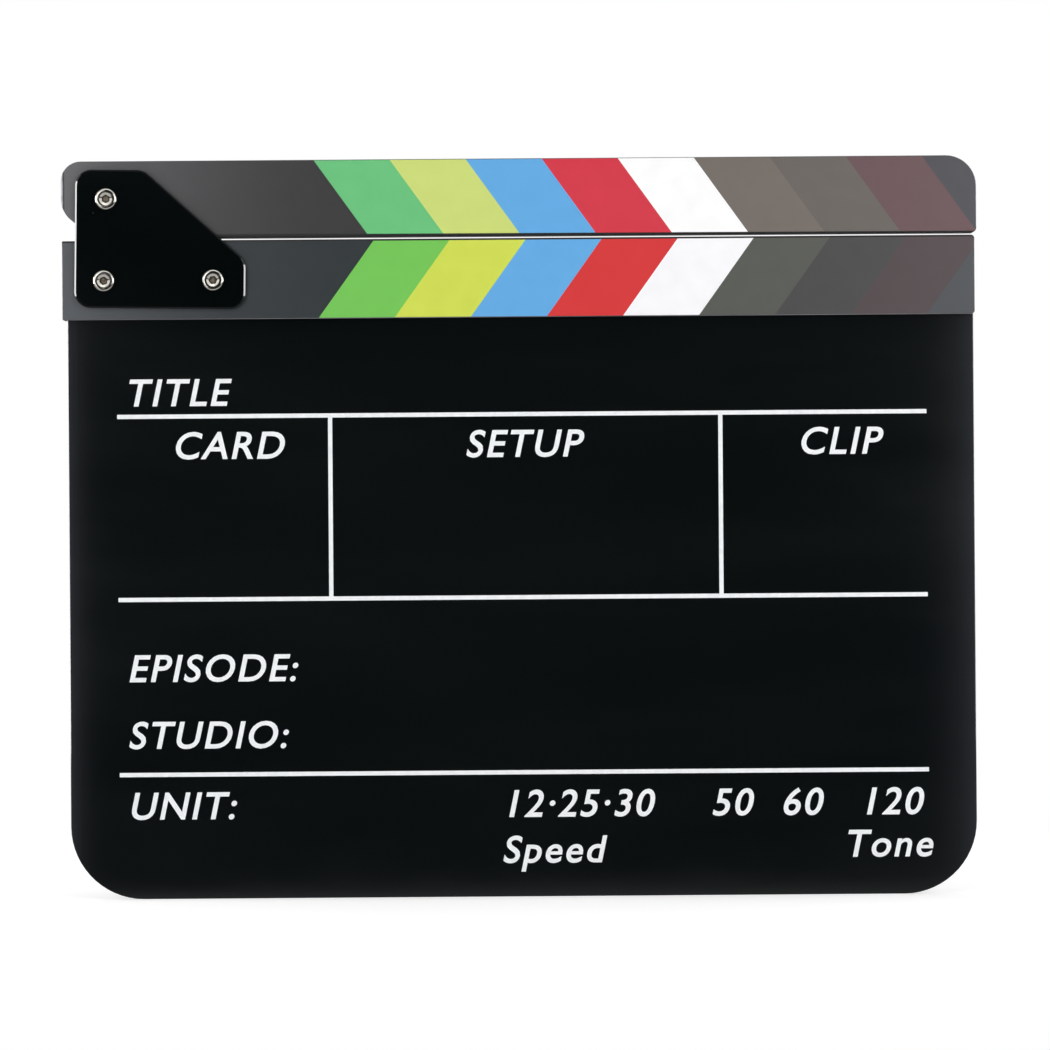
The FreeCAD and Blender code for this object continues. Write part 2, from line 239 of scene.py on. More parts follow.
def satin_paint(name, clap_shade_swatch, swatch, pale_swatch, worn_and_lit_swatch):
    """Black paint on wood: paler along the grain, painted shade at the clap, edges of wear and painted
    highlight.
    """
    material, tree, shader, place = new_material(name)
    lengthwise = add_node(tree, "Mapping", {"Scale": (GRAIN_STRETCH, 1.0, 1.0)}, {"Vector": place})
    grain = add_node(tree, "TexNoise", {"Scale": per_metre(GRAIN_MM), "Detail": 4.0, "Roughness": 0.55},
                     {"Vector": lengthwise.outputs["Vector"]})
    grit = add_node(tree, "TexNoise", {"Scale": per_metre(PAINT_GRIT_MM), "Detail": 2.0}, {"Vector": place})
    facing = add_node(tree, "SeparateXYZ", None,
                      {"Vector": add_node(tree, "NewGeometry").outputs["Normal"]})
    frontward = add_node(tree, "Math", None, {0: facing.outputs["Y"], 1: facing.outputs["Y"]},
                         operation="MULTIPLY")
    sideward = add_node(tree, "Math", {0: 1.0}, {1: frontward.outputs["Value"]}, operation="SUBTRACT")
    edge = add_node(tree, "Math", None, {0: frontward.outputs["Value"], 1: sideward.outputs["Value"]},
                    operation="MULTIPLY")
    grained_edge = add_node(tree, "Math", None, {0: edge.outputs["Value"], 1: grain.outputs["Fac"]},
                      operation="MULTIPLY")
    height = add_node(tree, "SeparateXYZ", None, {"Vector": place})
    above_clap = add_node(tree, "Math", {1: clap_height}, {0: height.outputs["Z"]}, operation="SUBTRACT")
    from_clap = add_node(tree, "Math", None, {0: above_clap.outputs["Value"]}, operation="ABSOLUTE")
    clear_of_clap = add_node(tree, "MapRange", {"From Min": 0.5 * CLAP_SHADE_REACH, "From Max": CLAP_SHADE_REACH},
                       {"Value": from_clap.outputs["Value"]})
    wear_and_highlight = add_node(tree, "MapRange", EDGE_WEAR_AND_HIGHLIGHT_RANGE,
                    {"Value": grained_edge.outputs["Value"], "To Max": clear_of_clap.outputs["Result"]})
    sunk = add_node(tree, "MapRange", NARROW_NOISE, {"Value": grain.outputs["Fac"]})
    grained = add_node(tree, "Mix", {UNDER: linear(swatch), OVER: linear(pale_swatch)},
                       {FACTOR: sunk.outputs["Result"]}, data_type="RGBA")
    # Painted shade: deep black toward the clapping edges.
    clap_shaded = add_node(tree, "Mix", {UNDER: linear(clap_shade_swatch)},
                       {FACTOR: clear_of_clap.outputs["Result"], OVER: grained.outputs[BLEND]}, data_type="RGBA")
    # Pale edges, partly wear and partly painted highlight.
    colour = add_node(tree, "Mix", {OVER: linear(worn_and_lit_swatch)},
                      {FACTOR: wear_and_highlight.outputs["Result"], UNDER: clap_shaded.outputs[BLEND]}, data_type="RGBA")
    gloss = add_node(tree, "MapRange", SATIN_ROUGHNESS, {"Value": sunk.outputs["Result"]})
    lines = add_node(tree, "Bump", {"Strength": 0.5, "Distance": GRAIN_DEPTH},
                     {"Height": grain.outputs["Fac"]})
    spray = add_node(tree, "Bump", {"Strength": 0.15, "Distance": PAINT_GRIT_DEPTH},
                     {"Height": grit.outputs["Fac"], "Normal": lines.outputs["Normal"]})
    tree.links.new(colour.outputs[BLEND], shader.inputs["Base Color"])
    tree.links.new(gloss.outputs["Result"], shader.inputs["Roughness"])
    tree.links.new(spray.outputs["Normal"], shader.inputs["Normal"])
    return material


stick_paint = satin_paint("satin_paint_on_beech", clap_shade_swatch="#0c0c0d", swatch="#17181a",
                          pale_swatch="#27282a", worn_and_lit_swatch="#9a989e")
print("paint", stick_paint.name)

# %% [markdown]
# The stripes are printed on vinyl film with a satin clear laminate over the ink, and the film is stuck to
# each stick's flat front. Ink on vinyl is even from a distance, but close up it has a faint mottle, and the
# laminate has a soft orange-peel ripple that breaks up reflections. The long charcoal field is lighter at
# the hinge end: that is painted sheen, standing in for the lamps' sheen on the laminate there. So the ink
# is a blend of two swatches along the stick, quick at first and then slow. One function makes the film in
# any ink.

# %% Printed vinyl, one material for each ink
VINYL_IOR = 1.5
LAMINATE_ROUGHNESS = {"To Min": 0.255, "To Max": 0.27}
MOTTLE_MM = 6.0
MOTTLE_TONE = {"From Min": 0.25, "From Max": 0.75, "To Min": 0.98, "To Max": 1.02}
PEEL_MM = 0.8
PEEL_DEPTH = 0.02 * MM
# The span and curve of the painted sheen at the stick's left end.
SHEEN_LEFT = -150.0 * MM
SHEEN_RIGHT = -60.0 * MM
SHEEN_POWER = 2.0


def printed_vinyl(name, swatch, sheen_swatch):
    """Vinyl film in one ink, with a painted sheen that fades in from a lighter swatch at the stick's left
    end.
    """
    material, tree, shader, place = new_material(name)
    across = add_node(tree, "SeparateXYZ", None, {"Vector": place})
    near_left = add_node(tree, "MapRange", {"From Min": SHEEN_RIGHT, "From Max": SHEEN_LEFT},
                         {"Value": across.outputs["X"]})
    sheen_fade = add_node(tree, "Math", {1: SHEEN_POWER}, {0: near_left.outputs["Result"]}, operation="POWER")
    sheened_ink = add_node(tree, "Mix", {UNDER: linear(swatch), OVER: linear(sheen_swatch)},
                        {FACTOR: sheen_fade.outputs["Value"]}, data_type="RGBA")
    mottle = add_node(tree, "TexNoise", {"Scale": per_metre(MOTTLE_MM), "Detail": 1.0, "Roughness": 0.4},
                      {"Vector": place})
    peel = add_node(tree, "TexNoise", {"Scale": per_metre(PEEL_MM), "Detail": 1.0}, {"Vector": place})
    tone = add_node(tree, "MapRange", MOTTLE_TONE, {"Value": mottle.outputs["Fac"]})
    ink = add_node(tree, "HueSaturation", None,
                   {"Color": sheened_ink.outputs[BLEND], "Value": tone.outputs["Result"]})
    gloss = add_node(tree, "MapRange", {**BROAD_NOISE, **LAMINATE_ROUGHNESS},
                     {"Value": mottle.outputs["Fac"]})
    ripple = add_node(tree, "Bump", {"Strength": 0.06, "Distance": PEEL_DEPTH},
                      {"Height": peel.outputs["Fac"]})
    shader.inputs["IOR"].default_value = VINYL_IOR
    tree.links.new(ink.outputs["Color"], shader.inputs["Base Color"])
    tree.links.new(gloss.outputs["Result"], shader.inputs["Roughness"])
    tree.links.new(ripple.outputs["Normal"], shader.inputs["Normal"])
    return material


# The upper stick's charcoal and greys are lighter than the lower's: partly the print's own tone, partly
# painted sheen that stands in for more lamp light on the upper film.
UPPER_INKS = {
    "charcoal": "#393839", "green": "#69c57d", "yellow": "#cedd77", "blue": "#61ace6", "red": "#d83345",
    "white": "#ffffff", "warm_grey": "#756d66", "mid_grey": "#6a645f", "umber": "#6a5054",
    "slate_grey": "#4c4c52",
}
LOWER_INKS = {
    "charcoal": "#2c3336", "green": "#73c854", "yellow": "#d2df4f", "blue": "#61ace6", "red": "#da3133",
    "white": "#fbfafd", "warm_grey": "#575953", "mid_grey": "#494849", "umber": "#514548",
    "slate_grey": "#4b4e53",
}
# The lighter charcoal at each film's left end is painted sheen.
CHARCOAL_SHEEN_END = {"upper_film": "#646467", "lower_film": "#4f5358"}
print("inks", ", ".join(UPPER_INKS))

# %% [markdown]
# Each film's solid is one thin sheet, so the stripes have to be cut into it. They could be painted by a
# texture, but a texture's edge goes soft in a baked copy. Here a copy of the sheet is sliced by slanted
# planes, one for each border between two inks, and every slice gets its own ink. The borders then stay as
# sharp as a printed edge from any distance. The stripes lean one way on the upper stick and the other way
# on the lower one, so that they meet in arrow points when the board is shut.

# %% Slice the printed film into stripes
STRIPE_PITCH = 25.0 * MM
STRIPE_LEAN = 0.718
UPPER_FIRST_BORDER = -49.5 * MM
LOWER_FIRST_BORDER = -47.7 * MM
FILM_JOIN_REACH = 0.001 * MM
FILM_CUT_REACH = 0.0001 * MM
FLAT_ANGLE = math.radians(0.5)


def striped_film(name, node, body, inks, first_border, gap_height, lean):
    """A copy of a film node, cut into stripes. The first border crosses gap_height at first_border."""
    mesh = frame["nodes"][node].data.copy()
    mesh.materials.clear()
    for ink, swatch in inks.items():
        sheen_swatch = CHARCOAL_SHEEN_END[name] if ink == "charcoal" else swatch
        mesh.materials.append(printed_vinyl("printed_vinyl_" + name + "_" + ink, swatch, sheen_swatch))
    cut = bmesh.new()
    cut.from_mesh(mesh)
    bmesh.ops.remove_doubles(cut, verts=cut.verts, dist=FILM_JOIN_REACH)
    across = Vector((1, 0, -lean)).normalized()
    starts = [first_border + STRIPE_PITCH * count for count in range(len(inks) - 1)]
    borders = [Vector((start, 0, gap_height)) for start in starts]
    for border in borders:
        geometry = cut.verts[:] + cut.edges[:] + cut.faces[:]
        bmesh.ops.bisect_plane(cut, geom=geometry, dist=FILM_CUT_REACH, plane_co=border, plane_no=across)
    for face in cut.faces:
        middle = face.calc_center_median()
        face.material_index = sum((middle - border).dot(across) > 0 for border in borders)
        face.smooth = False
    bmesh.ops.dissolve_limit(cut, angle_limit=FLAT_ANGLE, verts=cut.verts, edges=cut.edges,
                             delimit={"MATERIAL", "NORMAL"})
    bmesh.ops.triangulate(cut, faces=[face for face in cut.faces if len(face.verts) > 4])
    cut.to_mesh(mesh)
    cut.free()
    film = bpy.data.objects.new(name, mesh)
    bpy.context.scene.collection.objects.link(film)
    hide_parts(node)
    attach(film, body)
    return film


upper_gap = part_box("upper_stick")[0].z
lower_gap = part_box("lower_stick")[1].z
upper_film = striped_film("upper_film", "upper_stick_print", "clap_stick", UPPER_INKS,
                          UPPER_FIRST_BORDER, upper_gap, -STRIPE_LEAN)
lower_film = striped_film("lower_film", "lower_stick_print", "slate", LOWER_INKS,
                          LOWER_FIRST_BORDER, lower_gap, STRIPE_LEAN)
print("film faces", len(upper_film.data.polygons), len(lower_film.data.polygons))

# %% [markdown]
# The hinge screws, washers and nuts are steel with a thin bright nickel plate, which is warmer than chrome
# and not quite mirror smooth. The slate's screws are steel blackened in a hot bath, which leaves them dark
# and dull, and the pivot's sleeve is turned brass. All three could have their own function, but they differ
# only in colour and gloss: handling leaves small dull patches on each, and the tool leaves fine marks. The
# metal keeps the shader's own reflection. The pivot's washers are moulded nylon, an off-white waxy plastic.

# %% Nickel-plated and blackened steel, brass and nylon
DULL_PATCH_MM = 1.4
# The rings that turning leaves are finer than a tenth of a millimetre. They are drawn as a coarser noise,
# or they wouldn't show.
TOOL_MARK_MM = 0.25
TOOL_MARK_DEPTH = 0.01 * MM
NYLON_CLOUD_MM = 1.4
NYLON_TONE = {"To Min": 0.9, "To Max": 1.06}
NYLON_ROUGHNESS = 0.5
NYLON_IOR = 1.53


def plated_metal(name, swatch, dull_swatch, smooth, dull):
    """A metal finish. Gives the material and the mix that makes its colour, for more to be added."""
    material, tree, shader, place = new_material(name)
    patches = add_node(tree, "TexNoise",
                       {"Scale": per_metre(DULL_PATCH_MM), "Detail": 5.0, "Roughness": 0.6},
                       {"Vector": place})
    marks = add_node(tree, "TexNoise", {"Scale": per_metre(TOOL_MARK_MM), "Detail": 2.0}, {"Vector": place})
    colour = add_node(tree, "Mix", {UNDER: linear(swatch), OVER: linear(dull_swatch)},
                      {FACTOR: patches.outputs["Fac"]}, data_type="RGBA")
    gloss = add_node(tree, "MapRange", {**BROAD_NOISE, "To Min": smooth, "To Max": dull},
                     {"Value": patches.outputs["Fac"]})
    tooled = add_node(tree, "Bump", {"Strength": 0.08, "Distance": TOOL_MARK_DEPTH},
                      {"Height": marks.outputs["Fac"]})
    shader.inputs["Metallic"].default_value = 1.0
    tree.links.new(colour.outputs[BLEND], shader.inputs["Base Color"])
    tree.links.new(gloss.outputs["Result"], shader.inputs["Roughness"])
    tree.links.new(tooled.outputs["Normal"], shader.inputs["Normal"])
    return material, colour


def moulded_nylon(name, swatch):
    """Nylon in its natural colour, slightly cloudy."""
    material, tree, shader, place = new_material(name)
    cloud = add_node(tree, "TexNoise", {"Scale": per_metre(NYLON_CLOUD_MM), "Detail": 3.0},
                     {"Vector": place})
    tone = add_node(tree, "MapRange", NYLON_TONE, {"Value": cloud.outputs["Fac"]})
    colour = add_node(tree, "HueSaturation", {"Color": linear(swatch)}, {"Value": tone.outputs["Result"]})
    tree.links.new(colour.outputs["Color"], shader.inputs["Base Color"])
    shader.inputs["Roughness"].default_value = NYLON_ROUGHNESS
    shader.inputs["IOR"].default_value = NYLON_IOR
    return material


NICKEL = {"swatch": "#dcdad4", "dull_swatch": "#cbc7bd", "smooth": 0.07, "dull": 0.15}
nickel = plated_metal("nickel_plated_steel", **NICKEL)[0]
black_oxide = plated_metal("black_oxide_steel", "#2a2a2b", "#3a3937", smooth=0.32, dull=0.48)[0]
brass = plated_metal("turned_brass", "#c9a45a", "#b08a44", smooth=0.2, dull=0.34)[0]
nylon = moulded_nylon("moulded_nylon", "#e3e1d6")
print("finishes", nickel.name, black_oxide.name, brass.name, nylon.name)

# %% [markdown]
# Oil and dust settle in the hex sockets of the three hinge screws and dry there to a patchy brown crust,
# which hides the plate. Toward the socket's sides and corners the colour turns nearly black: that is
# painted shade, where the deep corners get little light. The socket is found by its distance from the
# screw's own axis and its depth below the head, so each screw has its own copy of the nickel with that
# axis in it.

# %% Dried oil in the screw sockets, with painted shade in their corners
SOCKET_SCREWS = ("pivot_screw", "left_plate_screw", "right_plate_screw")
SOCKET_RADIUS = 1.5 * MM
SOCKET_OILY_SHARE = 0.9
SOCKET_MOUTH = 0.6 * MM
SOCKET_FLOOR = 1.8 * MM
# Out from this radius the socket gets painted shade, nearly black.
CORNER_SHADE_RADIUS = 1.1 * MM
CAKE_FULL_SHARE = 0.7
CRUMB_MM = 0.6
CRUST_SWATCH = "#54493a"
PALE_CRUST_SWATCH = "#93897a"
CORNER_SHADE_SWATCH = "#231d15"
OILY_METALLIC = 0.1


def oily_socket_screw(node):
    """The nickel of one screw, with dried oil and painted corner shade in its socket."""
    material, plated = plated_metal("nickel_plated_" + node, **NICKEL)
    tree = material.node_tree
    shader = tree.nodes["Principled BSDF"]
    place = add_node(tree, "TexCoord").outputs["Object"]
    low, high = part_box(node)
    axis = ((low.x + high.x) / 2, 0, (low.z + high.z) / 2)
    off_axis = add_node(tree, "VectorMath", {1: axis}, {0: place}, operation="SUBTRACT")
    flat = add_node(tree, "VectorMath", {1: (1, 0, 1)}, {0: off_axis.outputs["Vector"]},
                    operation="MULTIPLY")
    radius = add_node(tree, "VectorMath", None, {0: flat.outputs["Vector"]}, operation="LENGTH")
    inside = add_node(tree, "MapRange",
                      {"From Min": SOCKET_RADIUS, "From Max": SOCKET_OILY_SHARE * SOCKET_RADIUS},
                      {"Value": radius.outputs["Value"]})
    clear_of_corner_shade = add_node(tree, "MapRange",
                     {"From Min": CORNER_SHADE_RADIUS, "From Max": CAKE_FULL_SHARE * CORNER_SHADE_RADIUS},
                     {"Value": radius.outputs["Value"]})
    crumbs = add_node(tree, "TexNoise", {"Scale": per_metre(CRUMB_MM), "Detail": 3.0}, {"Vector": place})
    patchy = add_node(tree, "MapRange", NARROW_NOISE, {"Value": crumbs.outputs["Fac"]})
    crust = add_node(tree, "Mix", {UNDER: linear(CRUST_SWATCH), OVER: linear(PALE_CRUST_SWATCH)},
                     {FACTOR: patchy.outputs["Result"]}, data_type="RGBA")
    # Painted shade: the crust turns nearly black toward the socket's sides and corners.
    crust_and_shade = add_node(tree, "Mix", {UNDER: linear(CORNER_SHADE_SWATCH)},
                     {FACTOR: clear_of_corner_shade.outputs["Result"], OVER: crust.outputs[BLEND]}, data_type="RGBA")
    depth = add_node(tree, "SeparateXYZ", None, {"Vector": place})
    middle = low.y + (SOCKET_MOUTH + SOCKET_FLOOR) / 2
    sunk = add_node(tree, "Math", {1: middle, 2: (SOCKET_FLOOR - SOCKET_MOUTH) / 2},
                    {0: depth.outputs["Y"]}, operation="COMPARE")
    oily = add_node(tree, "Math", None, {0: inside.outputs["Result"], 1: sunk.outputs["Value"]},
                    operation="MULTIPLY")
    colour = add_node(tree, "Mix", None,
                      {FACTOR: oily.outputs["Value"], UNDER: plated.outputs[BLEND],
                       OVER: crust_and_shade.outputs[BLEND]}, data_type="RGBA")
    bare = add_node(tree, "MapRange", {"To Min": 1.0, "To Max": OILY_METALLIC},
                    {"Value": oily.outputs["Value"]})
    tree.links.new(colour.outputs[BLEND], shader.inputs["Base Color"])
    tree.links.new(bare.outputs["Result"], shader.inputs["Metallic"])
    return material


screw_nickel = {node: oily_socket_screw(node) for node in SOCKET_SCREWS}
print("screws", list(screw_nickel))

# %% [markdown]
# Every solid of the construction model now takes the material of its record slot. The lookup goes through
# the record, so a node is dressed by what it is made of, and none can be forgotten. The two films have
# their inks already.

# %% Dress the solid pieces
SLOT_MATERIALS = {
    "slate_acrylic": slate_acrylic, "plate_acrylic": plate_acrylic, "stick_paint": stick_paint,
    "bright_steel": nickel, "black_steel": black_oxide, "bush_brass": brass, "nylon": nylon,
}
dressed = 0
for part in frame["record"]["subparts"]:
    if part["material_slot"] in SLOT_MATERIALS:
        solid = frame["nodes"][part["node"]]
        solid.data.materials.clear()
        finish = screw_nickel.get(part["node"], SLOT_MATERIALS[part["material_slot"]])
        solid.data.materials.append(finish)
        dressed += 1
print("dressed", dressed, "of", len(frame["nodes"]))

# %% [markdown]
# The slate's form is screen printed: a thick white ink is pressed through a stencil and stands a few
# hundredths of a millimetre above the acrylic. It could be painted into the acrylic's material, but ink
# with a height of its own keeps its sharp edge in every view. It is nearly opaque, slightly cool, and a
# little uneven, because a squeegee never leaves quite the same film of ink twice.

# %% Screen ink
INK_HEIGHT = 0.06 * MM
INK_SEAT = 0.02 * MM
INK_CLOUD_MM = 2.4
INK_ROUGHNESS = 0.45


def screen_ink(name, swatch, thin_swatch):
    """Ink that lets a little of the dark sheet through where its film is thin."""
    material, tree, shader, place = new_material(name)
    cloud = add_node(tree, "TexNoise", {"Scale": per_metre(INK_CLOUD_MM), "Detail": 5.0, "Roughness": 0.6},
                     {"Vector": place})
    cover = add_node(tree, "MapRange", NARROW_NOISE, {"Value": cloud.outputs["Fac"]})
    colour = add_node(tree, "Mix", {UNDER: linear(thin_swatch), OVER: linear(swatch)},
                      {FACTOR: cover.outputs["Result"]}, data_type="RGBA")
    tree.links.new(colour.outputs[BLEND], shader.inputs["Base Color"])
    shader.inputs["Roughness"].default_value = INK_ROUGHNESS
    return material


white_ink = screen_ink("screen_ink_white", "#f6f9fa", "#ebeef1")
slate_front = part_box("slate_board")[0].y
ink_depth = INK_HEIGHT + INK_SEAT
ink_middle = slate_front + (INK_SEAT - INK_HEIGHT) / 2
print("ink", white_ink.name, "slate front at", round(slate_front / MM, 2), "mm")

# %% [markdown]
# The form is ruled by three long lines, with two short ones that divide the middle band into three boxes.
# Each line is a low bar of ink. The short lines stop at the long ones, so that no two bars lie inside each
# other.

# %% Rule the slate's form
LINE_WIDTH = 1.4 * MM
LINE_LEFT = -133.0 * MM
LINE_RIGHT = 133.5 * MM
TITLE_LINE = 158.85 * MM
BOXES_LINE = 98.55 * MM
FOOT_LINE = 40.9 * MM
BOX_DIVIDERS = (-62.9 * MM, 65.6 * MM)


def ink_bar(mesh, left, right, bottom, top):
    """Adds one low bar of ink to a mesh, on the slate's front."""
    bar = bmesh.ops.create_cube(mesh, size=1.0)["verts"]
    size = Vector((right - left, ink_depth, top - bottom))
    middle = Vector(((left + right) / 2, ink_middle, (bottom + top) / 2))
    bmesh.ops.transform(mesh, verts=bar, matrix=Matrix.Translation(middle) @ Matrix.Diagonal((*size, 1)))


def inked_piece(name, mesh):
    """Makes a printed piece of a mesh, which rides on the slate."""
    piece = bpy.data.objects.new(name, mesh)
    bpy.context.scene.collection.objects.link(piece)
    mesh.materials.append(white_ink)
    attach(piece, "slate")
    return piece


ruling = bmesh.new()
half_line = LINE_WIDTH / 2
for height in (TITLE_LINE, BOXES_LINE, FOOT_LINE):
    ink_bar(ruling, LINE_LEFT, LINE_RIGHT, height - half_line, height + half_line)
for divider in BOX_DIVIDERS:
    ink_bar(ruling, divider - half_line, divider + half_line,
            BOXES_LINE + half_line, TITLE_LINE - half_line)
ruled_mesh = bpy.data.meshes.new("ruled_lines")
ruling.to_mesh(ruled_mesh)
ruling.free()
ruled_lines = inked_piece("ruled_lines", ruled_mesh)
print(ruled_lines.name, "has", len(ruled_mesh.polygons), "faces")

# %% [markdown]
# The form's field words are plain bold italic letters. Blender's own built-in letters do for this: they
# are sheared for the slant and swollen a little for the weight, given the ink's height, and turned to a
# mesh. Swollen outlines cross themselves in narrow corners if their curves have many steps, so these have
# few. The fill leaves some triangles with no area, which go when doubled points are joined and the edges
# inside the flat faces are turned. The words are the everyday ones of any film form, and the last rows
# hold frame rates as plain numbers.

# %% Letter the form
CAPITAL_HEIGHT = 8.95 * MM
CAPITAL_SHARE = 0.711
SLANT = 0.21
SWELL_SHARE = 0.013
CURVE_STEPS = 5
LETTER_SPACING = 1.12
INK_JOIN_REACH = 0.004 * MM
UPRIGHT = math.radians(90)
# Each piece's name, its words, and the left end and baseline of the words in millimetres.
FIELD_WORDS = (
    ("word_title", "TITLE", -130.5, 162.4), ("word_card", "CARD", -115.0, 144.9),
    ("word_setup", "SETUP", -18.6, 144.9), ("word_clip", "CLIP", 91.0, 145.1),
    ("word_episode", "EPISODE:", -130.3, 71.6), ("word_studio", "STUDIO:", -130.3, 49.6),
    ("word_unit", "UNIT:", -130.3, 26.3), ("rates_slow", "12·25·30", -7.2, 26.3),
    ("rate_50", "50", 61.6, 26.3), ("rate_60", "60", 84.6, 26.3), ("rate_120", "120", 110.6, 26.3),
    ("word_speed", "Speed", -7.4, 11.2), ("word_tone", "Tone", 105.2, 12.4),
)


def field_word(name, words, left, baseline):
    """One word of ink, its first letter's foot at (left, baseline) in millimetres."""
    text = bpy.data.curves.new(name, "FONT")
    text.body = words
    text.size = CAPITAL_HEIGHT / CAPITAL_SHARE
    text.shear = SLANT
    text.offset = SWELL_SHARE * text.size
    text.resolution_u = CURVE_STEPS
    text.extrude = ink_depth / 2
    text.space_character = LETTER_SPACING
    shaped = bpy.data.objects.new(name + "_outline", text)
    bpy.context.scene.collection.objects.link(shaped)
    bpy.context.view_layer.update()
    mesh = bpy.data.meshes.new_from_object(shaped.evaluated_get(bpy.context.evaluated_depsgraph_get()))
    bpy.data.objects.remove(shaped)
    stand = Matrix.Rotation(UPRIGHT, 4, "X")
    mesh.transform(Matrix.Translation((left * MM, ink_middle, baseline * MM)) @ stand)
    sound = bmesh.new()
    sound.from_mesh(mesh)
    bmesh.ops.remove_doubles(sound, verts=sound.verts, dist=INK_JOIN_REACH)
    flat = [face for face in sound.faces if len(face.verts) == 3]
    inner = [edge for edge in sound.edges if all(len(face.verts) == 3 for face in edge.link_faces)]
    bmesh.ops.beautify_fill(sound, faces=flat, edges=inner, method="AREA")
    sound.to_mesh(mesh)
    sound.free()
    return inked_piece(name, mesh)


lettering = [field_word(*word) for word in FIELD_WORDS]
for piece in lettering:
    corners = [vertex.co for vertex in piece.data.vertices]
    left, right = min(c.x for c in corners), max(c.x for c in corners)
    print(piece.name, "from", round(left / MM, 1), "to", round(right / MM, 1), "mm")

# %% [markdown]
# Two soft boxes stand in front, one at each side of the camera and clear of what the slate mirrors, and
# light the flat faces evenly. A bright narrow strip stands out at each side, in line with the board: it
# hardly lights the front, but every bevel and rolled edge mirrors it as a white line. It is just deep
# enough for the hinge plate's bevels to find it, because a deeper one makes the round screw heads flare.
# A weak panel hangs above. One large lamp could light it all, but it would show as a patch in the gloss.

# %% Light the board
# Places and sizes are in metres, powers in watts. The lamps of a pair differ in side, depth and power.
BOARD_MIDDLE = Vector((0, 0, 0.12))
BOX_OUT = 0.6
BOX_DEPTH = -1.6
BOX_UP = 0.35
BOX_SIZE = (0.5, 0.9)
BOXES = (("left_box", -1, 5.4), ("right_box", 1, 5.15))
STRIP_OUT = 0.9
STRIP_UP = 0.26
STRIP_SIZE = (0.2, 0.48)
STRIPS = (("left_strip", -1, 0.05, 4.55), ("right_strip", 1, -0.05, 4.0))
TOP_PLACE = (0.0, -0.5, 1.4)
TOP_SIZE = (1.2, 0.8)
TOP_POWER = 1.6


def soft_panel(name, place, aim, size, power):
    """A flat lamp that faces its aim and that the camera doesn't see."""
    lamp = bpy.data.lights.new(name, "AREA")
    lamp.shape = "RECTANGLE"
    lamp.size, lamp.size_y = size
    lamp.energy = power
    holder = bpy.data.objects.new(name, lamp)
    holder.location = place
    holder.rotation_euler = (Vector(aim) - Vector(place)).to_track_quat("-Z", "Y").to_euler()
    holder.visible_camera = False
    bpy.context.scene.collection.objects.link(holder)


for name, side, power in BOXES:
    soft_panel(name, (BOX_OUT * side, BOX_DEPTH, BOX_UP), BOARD_MIDDLE, BOX_SIZE, power)
for name, side, depth, power in STRIPS:
    soft_panel(name, (STRIP_OUT * side, depth, STRIP_UP), (0, depth, STRIP_UP), STRIP_SIZE, power)
soft_panel("top_panel", TOP_PLACE, BOARD_MIDDLE, TOP_SIZE, TOP_POWER)

# %% [markdown]
# The studio is white all round. A world that is plain white for everything would wash out the lamps, so it
# is white only where the camera or a mirror looks at it, and a soft grey fill elsewhere.

# %% Paint the studio white
SURROUND_FILL = 0.53

world = bpy.data.worlds.new("white_studio")
bpy.context.scene.world = world
world.use_nodes = True
studio = world.node_tree
studio.nodes.clear()
path = add_node(studio, "LightPath")
mirrored = add_node(studio, "Math", None,
                    {0: path.outputs["Is Glossy Ray"], 1: path.outputs["Is Transmission Ray"]},
                    operation="ADD")
seen = add_node(studio, "Math", None, {0: mirrored.outputs["Value"], 1: path.outputs["Is Camera Ray"]},
                operation="ADD", use_clamp=True)
fill = add_node(studio, "Background", {"Color": WHITE, "Strength": SURROUND_FILL})
white = add_node(studio, "Background", {"Color": WHITE, "Strength": 1.0})
either = add_node(studio, "MixShader", None, {0: seen.outputs["Value"], 1: fill.outputs["Background"],
                                              2: white.outputs["Background"]})
add_node(studio, "OutputWorld", None, {"Surface": either.outputs["Shader"]})
print("world", world.name, "with a fill of", SURROUND_FILL)

# %% [markdown]
# The floor is a sheet of white paper that runs out of sight. It could be a real curved sweep, but a flat
# sheet serves every view: near the board it is lit like the board, so it keeps the soft shadow at its foot,
# and further off it passes into plain white, as a paper sweep does. Mirrors look past the paper.

# %% Lay the paper floor
FLOOR_REACH = 12.0
FLOOR_GLOW = 0.3
SHADOW_REACH = 0.25
WHITE_FROM = 0.6
FIBRE_MM = 0.6
PAPER_SWATCH = "#f4f4f4"
PAPER_TONE = {"To Min": 0.985, "To Max": 1.0}
PAPER_ROUGHNESS = 0.9


